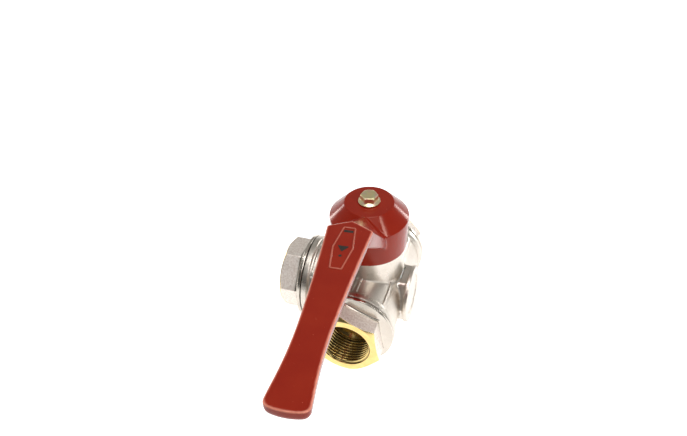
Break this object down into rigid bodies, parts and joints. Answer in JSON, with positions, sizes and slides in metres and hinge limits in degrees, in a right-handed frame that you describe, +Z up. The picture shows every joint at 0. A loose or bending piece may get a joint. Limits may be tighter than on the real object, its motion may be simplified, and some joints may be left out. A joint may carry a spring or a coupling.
{
  "type": "three way valve",
  "caption": "Three way ball valve: nickel plated body with three female threaded ports in a T, blind boss and a cranked red lever that turns an L-bored ball.",
  "frame": {"origin": "centre of the flat pad under the body, on the stem's axis; the three port axes cross 22.3 mm above it", "axes": "+Z up along the stem, -Y out of the front port, -X out of the left port, +Y out of the back port, +X out of the blind boss"},
  "size_m": [0.0709, 0.1933, 0.0973],
  "materials": {
    "nickel_plate": "satin nickel plating on forged brass, blasted texture on the hexagons",
    "bare_brass": "bare machined brass",
    "ball_chrome": "polished chrome plating",
    "red_paint": "semi-gloss red enamel on die-cast aluminium",
    "mark_paint": "black paint fill in the blade's mark",
    "yellow_zinc": "yellow zinc plated steel",
    "ptfe": "white PTFE",
    "seal_rubber": "black nitrile rubber"
  },
  "bodies": {
    "valve": {"valve_body": "nickel_plate", "connector_front": "nickel_plate", "connector_left": "nickel_plate", "connector_back": "nickel_plate", "connector_seal_front": "seal_rubber", "connector_seal_left": "seal_rubber", "connector_seal_back": "seal_rubber", "ball_seat_front": "ptfe", "ball_seat_left": "ptfe", "ball_seat_back": "ptfe", "ball_seat_blind": "ptfe", "thrust_washer": "ptfe", "packing_ring": "ptfe", "gland_nut": "bare_brass"},
    "handle": {"lever": "red_paint", "lever_bolt": "yellow_zinc", "stem": "bare_brass", "ball": "ball_chrome", "stem_o_ring_lower": "seal_rubber", "stem_o_ring_upper": "seal_rubber"}
  },
  "joints": [
    {"name": "lever_turn", "type": "hinge", "parent": "valve", "child": "handle", "pos_m": [0, 0, 0.0223], "axis": [0, 0, 1], "range_deg": [-90, 0]}
  ]
}
